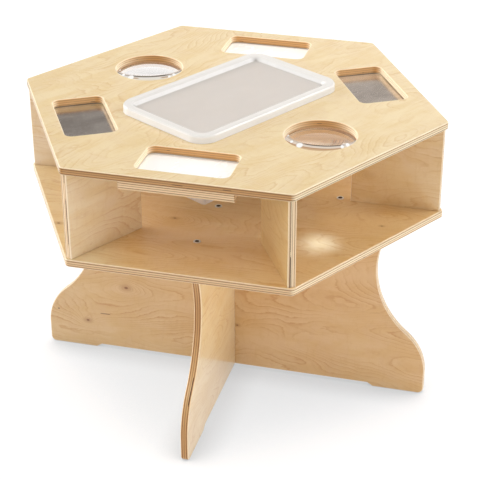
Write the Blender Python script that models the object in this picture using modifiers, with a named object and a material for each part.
"""Hexagonal plywood activity table with a lift-out tub.

A hexagonal top and an equal hexagonal shelf are held apart by six radial
dividers, one at each corner, which leaves six open cubbies that join in the
middle.  A plastic tub with a lid hangs by its flange in the middle of the top.
The top has two magnifier lenses, two mirrors and two white boards, all let in
from below.  Two crossed, half-lapped leg panels with wavy ends carry the shelf.

World frame: metres, +Z up, origin on the floor under the table's centre.
+X runs along the tub's long side.  Sides are numbered 1..6 by the direction of
their middle (30, 90, 150, 210, 270, 330 degrees) and dividers 1..6 by corner
(0, 60, 120, 180, 240, 300 degrees).
"""
import math

import bmesh
import bpy
from mathutils import Matrix

# ------------------------------------------------------------------ dimensions
MM = 0.001
GAP = 0.3 * MM                   # clearance between touching pieces
PLY = 15.6 * MM                  # plywood thickness
HEIGHT = 622.0 * MM              # floor to the top surface
HEX_R = 431.2 * MM               # centre to (virtual) corner of top and shelf
HEX_CORNER_R = 11.0 * MM         # plan rounding of the hexagon corners
ARRIS = 3.0 * MM                 # rounded edge of the big panels
SHELF_DROP = 189.2 * MM          # top surface down to the shelf surface

DIVIDER_IN = 247.5 * MM          # centre to the dividers' inner ends
DIVIDER_OUT = 424.5 * MM         # centre to the dividers' outer ends
DIVIDER_EDGE_R = 2.5 * MM        # rounding of the dividers' upright edges

# Mirror and white board openings in the top
OPEN_IN = 241.5 * MM             # centre to the inner edge
OPEN_OUT = 341.0 * MM            # centre to the outer edge
OPEN_HALF = 88.5 * MM            # half width along the side
OPEN_CORNER_R = 15.0 * MM

# Mirror and white board sheets, and the boards backing them
SHEET = 3.0 * MM                 # sheet thickness
SHEET_LAP = 8.0 * MM             # how far a sheet runs past its opening
SHEET_CORNER_R = OPEN_CORNER_R + 4.0 * MM
BACK_HALF = 108.4 * MM           # half width of the backing boards
BACK_IN = 222.0 * MM             # centre to their inner edge
BOARD_BACK_OUT = 369.0 * MM      # outer edge of the white boards' backing
MIRROR_BACK_OUT = 360.0 * MM     # outer edge of the mirrors' backing

LENS_AT = 239.0 * MM             # table's centre to the centre of each lens
LENS_HOLE_R = 68.5 * MM
LENS_R = 72.0 * MM
LENS_EDGE = 3.0 * MM             # thickness at the rim
LENS_CROWN_TOP = 7.0 * MM        # rise of the upper cap
LENS_CROWN_BOTTOM = 5.0 * MM     # drop of the lower cap
LENS_RIM_TOP = 4.0 * MM          # width of the flat rim around the upper cap
LENS_RIM_BOTTOM = 6.0 * MM       # and around the lower cap
RETAINER_OUT_R = 84.0 * MM
RETAINER_IN_R = 66.0 * MM

# Rounded rectangles: half x, half y, corner radius
TUB_HOLE = (170.8 * MM, 97.8 * MM, 28.0 * MM)
TUB_FLANGE = (189.0 * MM, 116.5 * MM, 36.0 * MM)
TUB_MOUTH = (168.5 * MM, 95.5 * MM, 26.0 * MM)
TUB_FOOT = (161.0 * MM, 86.5 * MM, 15.0 * MM)
LID_OUT = (194.5 * MM, 122.0 * MM, 38.0 * MM)
TUB_DEPTH = 146.0 * MM           # table top down to the underside of the tub
TUB_WALL = 2.4 * MM
LID_HEIGHT = 15.0 * MM           # highest part of the lid above the table top
LID_PANEL = 6.6 * MM             # recessed panel above the table top
LID_WALL = 2.0 * MM

LEG_LONG = 417.0 * MM            # half length of the long leg panel at its feet
LEG_SHORT = 360.0 * MM           # half length of the short one
BULGE_R = 116.0 * MM             # convex arc above each foot
BULGE_Z = 51.0 * MM              # height of its centre
WAIST_R = 190.0 * MM             # concave arc above that
WAIST_Z = 285.0 * MM             # height of its centre
FOOT_LENGTH = 107.0 * MM
FOOT_RAISE = 7.5 * MM            # clearance between the feet
FOOT_RAMP = 12.0 * MM            # length of the slope up to that clearance
FOOT_CORNER_R = 12.0 * MM

SHORT_SCREWS = (95.2 * MM, 245.5 * MM)   # from the centre, over the short panel
LONG_SCREWS = (95.2 * MM, 225.3 * MM)    # and over the long one
SCREW_R = 2.2 * MM
WASHER_R = 7.2 * MM
SHANK_LENGTH = 11.0 * MM
SCREW_HOLE_DEPTH = 24.0 * MM     # cutter length, centred on the shelf surface

Z_TOP = HEIGHT
Z_TOP_UNDER = HEIGHT - PLY
Z_SHELF = HEIGHT - SHELF_DROP
Z_SHELF_UNDER = Z_SHELF - PLY
Z_BELOW_TOP = Z_TOP_UNDER - GAP  # highest level of the pieces under the top
SIDE_DIR = {k: math.radians(30 + 60 * (k - 1)) for k in range(1, 7)}
CORNER_DIR = {k: math.radians(60 * (k - 1)) for k in range(1, 7)}
LONG_LEG_DIR = math.radians(-60)         # towards corner 6
SHORT_LEG_DIR = SIDE_DIR[4]

# ------------------------------------------------------------------ scene setup
for old in list(bpy.data.objects):
    bpy.data.objects.remove(old, do_unlink=True)
parts = bpy.data.collections.new("hex_activity_table")
tools = bpy.data.collections.new("cutters")
bpy.context.scene.collection.children.link(parts)
bpy.context.scene.collection.children.link(tools)


# ------------------------------------------------------------------ materials
def make_material(name, rgb, roughness, metallic=0.0, transmission=0.0, ior=1.45):
    material = bpy.data.materials.new(name)
    material.use_nodes = True
    inputs = material.node_tree.nodes["Principled BSDF"].inputs
    inputs["Base Color"].default_value = (*rgb, 1.0)
    inputs["Roughness"].default_value = roughness
    inputs["Metallic"].default_value = metallic
    inputs["Transmission Weight"].default_value = transmission
    inputs["IOR"].default_value = ior
    material.diffuse_color = (*rgb, 1.0)
    return material


BIRCH = (0.80, 0.60, 0.36)
BIRCH_DEEP = (0.66, 0.45, 0.25)


def birch(piece, tone):
    """Birch for one piece, from light (tone 0) to deep (tone 1)."""
    rgb = [light + (deep - light) * tone for light, deep in zip(BIRCH, BIRCH_DEEP)]
    return make_material("birch_" + piece, rgb, roughness=0.34)


lens_acrylic = make_material("lens_acrylic", (0.95, 0.96, 0.96), roughness=0.02,
                             transmission=1.0, ior=1.49)
mirror_acrylic = make_material("mirror_acrylic", (0.62, 0.62, 0.62), roughness=0.04,
                               metallic=1.0)
white_board = make_material("white_board", (0.86, 0.85, 0.82), roughness=0.25)
tub_plastic = make_material("tub_plastic", (0.90, 0.88, 0.85), roughness=0.25,
                            transmission=0.35)
lid_plastic = make_material("lid_plastic", (0.93, 0.92, 0.90), roughness=0.22,
                            transmission=0.45)
screw_steel = make_material("screw_steel", (0.62, 0.60, 0.57), roughness=0.28,
                            metallic=1.0)


# ------------------------------------------------------------------ outlines
def polar(radius, angle):
    return radius * math.cos(angle), radius * math.sin(angle)


def arc(cx, cy, radius, start, end, n):
    """n + 1 points on an arc, ends included (angles in radians)."""
    return [(cx + radius * math.cos(start + (end - start) * i / n),
             cy + radius * math.sin(start + (end - start) * i / n))
            for i in range(n + 1)]


def circle(cx, cy, radius, n):
    return arc(cx, cy, radius, 0.0, 2 * math.pi, n)[:-1]


def hexagon(radius, corner, n=4):
    """Regular hexagon with a corner on +X, each corner rounded in n steps."""
    half_turn = math.radians(30)
    centre_r = radius - corner / math.cos(half_turn)
    points = []
    for angle in CORNER_DIR.values():
        points += arc(*polar(centre_r, angle), corner,
                      angle - half_turn, angle + half_turn, n)
    return points


def rounded_rect(half_x, half_y, corner, n, cx=0.0):
    """Rectangle centred on (cx, 0), each corner rounded in n steps."""
    points = []
    for quarter, (sx, sy) in enumerate(((1, 1), (-1, 1), (-1, -1), (1, -1))):
        start = math.radians(90 * quarter)
        points += arc(cx + sx * (half_x - corner), sy * (half_y - corner), corner,
                      start, start + math.radians(90), n)
    return points


def turn(points, angle):
    c, s = math.cos(angle), math.sin(angle)
    return [(x * c - y * s, x * s + y * c) for x, y in points]


def opening(side, lap=0.0, corner=OPEN_CORNER_R, n=4):
    """Outline of the opening on a side, grown by `lap` all round."""
    points = rounded_rect((OPEN_OUT - OPEN_IN) / 2 + lap, OPEN_HALF + lap, corner, n,
                          cx=(OPEN_IN + OPEN_OUT) / 2)
    return turn(points, SIDE_DIR[side])


# ------------------------------------------------------------------ builders
def add_object(name, data, collection=parts):
    ob = bpy.data.objects.new(name, data)
    collection.objects.link(ob)
    return ob


def mesh_from(name, bm):
    """New mesh from a bmesh, which is freed."""
    mesh = bpy.data.meshes.new(name)
    bm.to_mesh(mesh)
    bm.free()
    return mesh


def dress(mesh, material, smooth_angle):
    """Give a mesh its material, and smooth shading below an angle in degrees."""
    mesh.materials.append(material)
    mesh.shade_smooth()
    mesh.set_sharp_from_angle(angle=math.radians(smooth_angle))


def plate(name, loops, bottom, thickness, material, arris=0.0, rotation=(0, 0, 0)):
    """Flat outline with holes, its edges rounded by `arris`.

    The outline lies in the plate's own XY plane with its underside at local
    z = `bottom`.
    """
    curve = bpy.data.curves.new(name + "_outline", "CURVE")
    curve.dimensions = "2D"
    curve.fill_mode = "BOTH"
    curve.resolution_u = 1
    curve.render_resolution_u = 0
    curve.extrude = thickness / 2 - arris
    curve.bevel_depth = arris
    curve.offset = -arris        # keeps the rounded edge inside the outline
    curve.bevel_resolution = 1
    for loop in loops:
        spline = curve.splines.new("POLY")
        spline.points.add(len(loop) - 1)
        for point, (x, y) in zip(spline.points, loop):
            point.co = (x, y, 0.0, 1.0)
        spline.use_cyclic_u = True
    source = add_object(name + "_curve", curve, tools)
    bpy.context.view_layer.update()
    depsgraph = bpy.context.evaluated_depsgraph_get()
    mesh = bpy.data.meshes.new_from_object(source.evaluated_get(depsgraph))
    bpy.data.objects.remove(source, do_unlink=True)

    # Weld the caps to the edge so that the plate is one closed solid.
    bm = bmesh.new()
    bm.from_mesh(mesh)
    bmesh.ops.remove_doubles(bm, verts=bm.verts, dist=0.02 * MM)
    bmesh.ops.translate(bm, verts=bm.verts, vec=(0, 0, bottom + thickness / 2))
    bmesh.ops.recalc_face_normals(bm, faces=bm.faces)
    bm.to_mesh(mesh)
    bm.free()
    mesh.name = name
    dress(mesh, material, smooth_angle=40)
    ob = add_object(name, mesh)
    ob.rotation_euler = rotation
    return ob


def cut(host, name, bm, centre):
    """Cut the shape in `bm`, moved to `centre`, out of the host."""
    bmesh.ops.translate(bm, verts=bm.verts, vec=centre)
    tool = add_object(name, mesh_from(name, bm), tools)
    tool.hide_render = True
    tool.display_type = "WIRE"
    boolean = host.modifiers.new("cut_" + name, "BOOLEAN")
    boolean.operation = "DIFFERENCE"
    boolean.solver = "EXACT"
    boolean.object = tool


def cut_box(host, name, size, centre, angle):
    """Cut a box, turned about its own upright axis."""
    bm = bmesh.new()
    bmesh.ops.create_cube(bm, size=1.0)
    bmesh.ops.scale(bm, verts=bm.verts, vec=size)
    bmesh.ops.rotate(bm, verts=bm.verts, matrix=Matrix.Rotation(angle, 3, "Z"))
    cut(host, name, bm, centre)


def cut_cylinder(host, name, radius, depth, segments, centre):
    bm = bmesh.new()
    bmesh.ops.create_cone(bm, cap_ends=True, segments=segments, radius1=radius,
                          radius2=radius, depth=depth)
    cut(host, name, bm, centre)


def turned(name, profile, material, steps, location):
    """Profile of (radius, height) turned about Z.

    A profile that stays clear of the axis at both ends is closed into a ring.
    """
    edges = [(i, i + 1) for i in range(len(profile) - 1)]
    if profile[0][0] > 0 and profile[-1][0] > 0:
        edges.append((len(profile) - 1, 0))
    mesh = bpy.data.meshes.new(name)
    mesh.from_pydata([(radius, 0.0, z) for radius, z in profile], edges, [])
    mesh.materials.append(material)
    ob = add_object(name, mesh)
    ob.location = location
    screw = ob.modifiers.new("turn", "SCREW")
    screw.steps = steps
    screw.render_steps = steps
    screw.use_merge_vertices = True
    screw.merge_threshold = 0.01 * MM
    screw.use_smooth_shade = True


def ring_shell(name, rings, wall, material, cup=False):
    """Open shell through stacked rounded rectangles, closed by its last ring,
    thickened inwards.  Each ring is (rectangle, inset, z).
    A cup's rings run down from its mouth, a cover's rings run up from its rim.
    """
    bm = bmesh.new()
    loops = []
    for (half_x, half_y, corner), inset, z in rings:
        points = rounded_rect(half_x - inset, half_y - inset, corner - inset, n=5)
        loops.append([bm.verts.new((x, y, z)) for x, y in points])
    for first, second in zip(loops, loops[1:]):
        for i in range(len(first)):
            j = (i + 1) % len(first)
            bm.faces.new((first[i], first[j], second[j], second[i]))
    bm.faces.new(loops[-1])
    if cup:
        bmesh.ops.reverse_faces(bm, faces=bm.faces)
    mesh = mesh_from(name, bm)
    dress(mesh, material, smooth_angle=50)
    solidify = add_object(name, mesh).modifiers.new("wall", "SOLIDIFY")
    solidify.thickness = wall
    solidify.offset = -1.0
    solidify.use_even_offset = True
    solidify.use_rim = True


# ------------------------------------------------------------------ top and shelf
hex_outline = hexagon(HEX_R, HEX_CORNER_R)
lens_centres = {side: polar(LENS_AT, SIDE_DIR[side]) for side in (2, 5)}

top_loops = [hex_outline]
top_loops += [opening(side) for side in (1, 3, 4, 6)]
top_loops += [circle(*centre, LENS_HOLE_R, n=56) for centre in lens_centres.values()]
top_loops += [rounded_rect(*TUB_HOLE, n=5)]
plate("top_panel", top_loops, Z_TOP_UNDER, PLY, birch("top", 0.0), ARRIS)

shelf = plate("bottom_shelf", [hex_outline], Z_SHELF_UNDER, PLY, birch("shelf", 0.25),
              ARRIS)

# ------------------------------------------------------------------ dividers
divider_bottom = Z_SHELF + GAP
divider_outline = rounded_rect((DIVIDER_OUT - DIVIDER_IN) / 2, PLY / 2, DIVIDER_EDGE_R,
                               n=3, cx=(DIVIDER_IN + DIVIDER_OUT) / 2)
for corner, angle in CORNER_DIR.items():
    name = "divider_%d" % corner
    plate(name, [divider_outline], divider_bottom, Z_BELOW_TOP - divider_bottom,
          birch(name, 0.2), rotation=(0, 0, angle))


# ------------------------------------------------------------------ leg panels
def leg_outline(reach):
    """Leg panel upright in XY, its right half first, from the foot's ramp up
    through the convex and concave arcs to the top corner."""
    top = Z_SHELF_UNDER - GAP
    bulge_x = reach - BULGE_R
    # The two arcs touch, so their centres lie the sum of their radii apart.
    rise = WAIST_Z - BULGE_Z
    run = math.sqrt((BULGE_R + WAIST_R) ** 2 - rise ** 2)
    meet = math.atan2(rise, run)
    waist_end = math.pi - math.asin((top - WAIST_Z) / WAIST_R)
    half = [(reach - FOOT_LENGTH - FOOT_RAMP, FOOT_RAISE),
            (reach - FOOT_LENGTH, 0.0)]
    half += arc(reach - FOOT_CORNER_R, FOOT_CORNER_R, FOOT_CORNER_R,
                math.radians(-90), 0.0, n=5)
    half += arc(bulge_x, BULGE_Z, BULGE_R, 0.0, meet, n=12)
    half += arc(bulge_x + run, WAIST_Z, WAIST_R, math.pi + meet, waist_end, n=20)[1:]
    return half + [(-x, y) for x, y in reversed(half)]


def leg_panel(name, reach, angle, tone, slot_name, slot_bottom, slot_height):
    """Upright panel with a slot at its middle for the crossing panel."""
    panel = plate(name, [leg_outline(reach)], -PLY / 2, PLY, birch(name, tone), ARRIS,
                  rotation=(math.radians(90), 0, angle))
    cut_box(panel, slot_name, size=(PLY + 2 * GAP, 3 * PLY, slot_height),
            centre=(0, 0, slot_bottom + slot_height / 2), angle=angle)


# The long panel is slotted from below and the short one from above; the slots
# meet at mid height, and each cutter runs out past its panel's edge.
leg_mid = (Z_SHELF_UNDER + FOOT_RAISE) / 2
LONG_OVERRUN = 50.0 * MM
leg_panel("leg_panel_long", LEG_LONG, LONG_LEG_DIR, 0.45, "long_slot",
          slot_bottom=-LONG_OVERRUN, slot_height=leg_mid + GAP + LONG_OVERRUN)
leg_panel("leg_panel_short", LEG_SHORT, SHORT_LEG_DIR, 0.15, "short_slot",
          slot_bottom=leg_mid - GAP, slot_height=300.0 * MM)


# ------------------------------------------------------------------ lenses
def cap(radius, crown, n):
    """(radius, height) from the crown to the rim of a shallow spherical cap."""
    sphere_r = (radius * radius + crown * crown) / (2 * crown)
    radii = [radius * i / n for i in range(n + 1)]
    return [(r, math.sqrt(sphere_r * sphere_r - r * r) - sphere_r + crown)
            for r in radii]


# Heights in both profiles are from the upper face of the lens rim.
lower_cap = [(r, -LENS_EDGE - z)
             for r, z in cap(LENS_R - LENS_RIM_BOTTOM, LENS_CROWN_BOTTOM, n=4)]
lens_profile = (cap(LENS_R - LENS_RIM_TOP, LENS_CROWN_TOP, n=5)
                + [(LENS_R, 0.0), (LENS_R, -LENS_EDGE)]
                + lower_cap[::-1])
retainer_profile = [
    (RETAINER_IN_R, -LENS_EDGE - GAP),
    (LENS_R + GAP, -LENS_EDGE - GAP),
    (LENS_R + GAP, 0.0),
    (RETAINER_OUT_R, 0.0),
    (RETAINER_OUT_R, -PLY),
    (RETAINER_IN_R, -PLY),
]
for side, centre in lens_centres.items():
    seat = (*centre, Z_BELOW_TOP)
    turned("magnifier_lens_%d" % side, lens_profile, lens_acrylic, 48, seat)
    name = "lens_retainer_%d" % side
    turned(name, retainer_profile, birch(name, 0.5), 40, seat)


# ------------------------------------------------------------------ mirrors, boards
def backed_sheet(side, sheet_name, backing_name, material, back_out):
    """Sheet under the opening on a side, let into a plywood backing board."""
    angle = SIDE_DIR[side]
    plate(sheet_name, [opening(side, SHEET_LAP, SHEET_CORNER_R, n=3)],
          Z_BELOW_TOP - SHEET, SHEET, material)
    outline = turn([(BACK_IN, -BACK_HALF), (back_out, -BACK_HALF),
                    (back_out, BACK_HALF), (BACK_IN, BACK_HALF)], angle)
    backing = plate(backing_name, [outline], Z_BELOW_TOP - PLY, PLY,
                    birch(backing_name, 0.5))
    margin = SHEET_LAP + GAP
    cut_box(backing, "recess_%d" % side,
            size=(OPEN_OUT - OPEN_IN + 2 * margin, 2 * (OPEN_HALF + margin),
                  2 * (SHEET + GAP)),
            centre=(*polar((OPEN_IN + OPEN_OUT) / 2, angle), Z_BELOW_TOP), angle=angle)


for side in (1, 4):
    backed_sheet(side, "white_board_%d" % side, "board_backing_%d" % side,
                 white_board, BOARD_BACK_OUT)
for side in (3, 6):
    backed_sheet(side, "mirror_%d" % side, "mirror_backing_%d" % side,
                 mirror_acrylic, MIRROR_BACK_OUT)

# ------------------------------------------------------------------ tub and lid
z_tub = Z_TOP - TUB_DEPTH
z_flange = Z_TOP + GAP
ring_shell("tub", [
    (TUB_FLANGE, 0.0, z_flange),
    (TUB_FLANGE, 19.0 * MM, z_flange),
    (TUB_MOUTH, 0.0, z_flange - 1.5 * MM),
    (TUB_MOUTH, 3.0 * MM, z_flange - 30.0 * MM),
    (TUB_FOOT, 0.0, z_tub + 9.0 * MM),
    (TUB_FOOT, 3.0 * MM, z_tub + 2.6 * MM),
    (TUB_FOOT, 9.5 * MM, z_tub),
], TUB_WALL, tub_plastic, cup=True)

ring_shell("tub_lid", [
    (LID_OUT, 0.0, Z_TOP + GAP),
    (LID_OUT, 0.8 * MM, Z_TOP + 9.0 * MM),
    (LID_OUT, 2.8 * MM, Z_TOP + 13.2 * MM),
    (LID_OUT, 7.0 * MM, Z_TOP + LID_HEIGHT),
    (LID_OUT, 17.5 * MM, Z_TOP + LID_HEIGHT),
    (LID_OUT, 20.5 * MM, Z_TOP + LID_HEIGHT - 1.6 * MM),
    (LID_OUT, 24.5 * MM, Z_TOP + LID_PANEL + 0.8 * MM),
    (LID_OUT, 26.5 * MM, Z_TOP + LID_PANEL),
], LID_WALL, lid_plastic)

# ------------------------------------------------------------------ screws
# (radius, height above the washer's underside), from the head down
SCREW_PROFILE = [
    (0.0, 2.0 * MM), (2.6 * MM, 1.8 * MM), (4.3 * MM, 1.1 * MM),
    (6.5 * MM, 0.9 * MM), (WASHER_R, 0.3 * MM), (WASHER_R, 0.0),
    (SCREW_R, 0.0), (SCREW_R, -SHANK_LENGTH), (0.0, -SHANK_LENGTH),
]


def shelf_screws(prefix, number, angle, radii):
    """Inner and outer washer-headed screws in one direction, with their holes."""
    for label, radius in zip(("in", "out"), radii):
        name = "%s_%d_%s" % (prefix, number, label)
        x, y = polar(radius, angle)
        turned(name, SCREW_PROFILE, screw_steel, 16, (x, y, Z_SHELF + GAP))
        cut_cylinder(shelf, name + "_hole", SCREW_R + GAP, SCREW_HOLE_DEPTH,
                     segments=12, centre=(x, y, Z_SHELF))


# The short panel's screws are numbered by side, the long panel's by corner.
for side in (1, 4):
    shelf_screws("shelf_screw_short", side, SIDE_DIR[side], SHORT_SCREWS)
for corner in (3, 6):
    shelf_screws("shelf_screw_long", corner, CORNER_DIR[corner], LONG_SCREWS)
